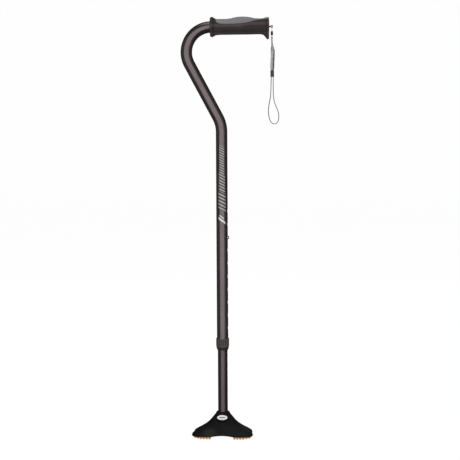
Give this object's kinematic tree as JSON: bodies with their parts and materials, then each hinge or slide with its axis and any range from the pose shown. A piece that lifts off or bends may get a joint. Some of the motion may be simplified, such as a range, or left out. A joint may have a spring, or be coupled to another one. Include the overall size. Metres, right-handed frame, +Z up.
{
  "type": "quad walking cane",
  "caption": "Height-adjustable offset-handle walking cane with a contoured grip, wrist strap, lock collar and a small standing tip on four treads.",
  "frame": {"origin": "on the floor, on the axis of the shaft, under the middle of the standing tip", "axes": "+Z up along the shaft, +X forward the way the grip points (the button's side), +Y to the user's left"},
  "size_m": [0.1892, 0.0734, 0.8156],
  "materials": {
    "upper_tube": "dark brown anodised, satin",
    "lower_tube": "dark brown anodised, satin",
    "grip_rubber": "matt moulded rubber",
    "comfort_rubber": "soft matt grey rubber",
    "hard_plastic": "moulded charcoal plastic",
    "collet_plastic": "natural moulded plastic",
    "spring_steel": "bright spring steel",
    "tip_rubber": "black moulded rubber, slight sheen",
    "tread_rubber": "amber tread rubber",
    "badge_plastic": "gloss white plastic",
    "strap_fabric": "woven grey webbing",
    "strap_cord": "braided cord",
    "strap_trim": "dark stitched tab"
  },
  "bodies": {
    "lower": {"tip_boot": "tip_rubber", "tip_socket_liner": "hard_plastic", "tip_washer": "spring_steel", "tread_front_left": "tread_rubber", "tread_front_right": "tread_rubber", "tread_back_left": "tread_rubber", "tread_back_right": "tread_rubber", "tip_badge": "badge_plastic", "lower_tube": "lower_tube", "tube_glide_plug": "hard_plastic", "button_spring": "spring_steel"},
    "button": {"snap_button": "spring_steel"},
    "upper": {"handle_tube": "upper_tube", "grip_core": "hard_plastic", "grip_body": "grip_rubber", "grip_comfort_pad": "comfort_rubber", "tube_end_plug": "hard_plastic"},
    "collet": {"split_collet": "collet_plastic"},
    "nut": {"lock_nut": "hard_plastic"},
    "strap_swivel": {"strap_post": "hard_plastic"},
    "strap": {"strap_cord": "strap_cord", "strap_bead": "hard_plastic", "strap_webbing": "strap_fabric", "strap_tab": "strap_trim"}
  },
  "joints": [
    {"name": "height_slide", "type": "slide", "parent": "lower", "child": "upper", "axis": [0, 0, 1], "range_m": [-0.0508, 0.1778], "deforming": ["snap_button"]},
    {"name": "button_press", "type": "slide", "parent": "lower", "child": "button", "axis": [-1, 0, 0], "range_m": [0, 0.0038], "stiffness_N_per_m": 300, "springref_m": -0.004, "deforming": ["button_spring"]},
    {"name": "lock_nut_advance", "type": "slide", "parent": "upper", "child": "collet", "axis": [0, 0, 1], "range_m": [-0.0015, 0]},
    {"name": "lock_nut_turn", "type": "hinge", "parent": "collet", "child": "nut", "pos_m": [0, 0, 0.1823], "axis": [0, 0, 1], "range_deg": [-270.1, 0.1]},
    {"name": "strap_post_swivel", "type": "hinge", "parent": "upper", "child": "strap_swivel", "pos_m": [0.0975, 0, 0.7963], "axis": [1, 0, 0], "range_deg": [-90, 90]},
    {"name": "strap_swing", "type": "hinge", "parent": "strap_swivel", "child": "strap", "pos_m": [0.0975, 0, 0.7963], "axis": [0, -1, 0], "range_deg": [-8, 85]}
  ],
  "couplings": [
    {"joint": "lock_nut_turn", "follows": "lock_nut_advance", "rad_per_m": 3141.6}
  ]
}
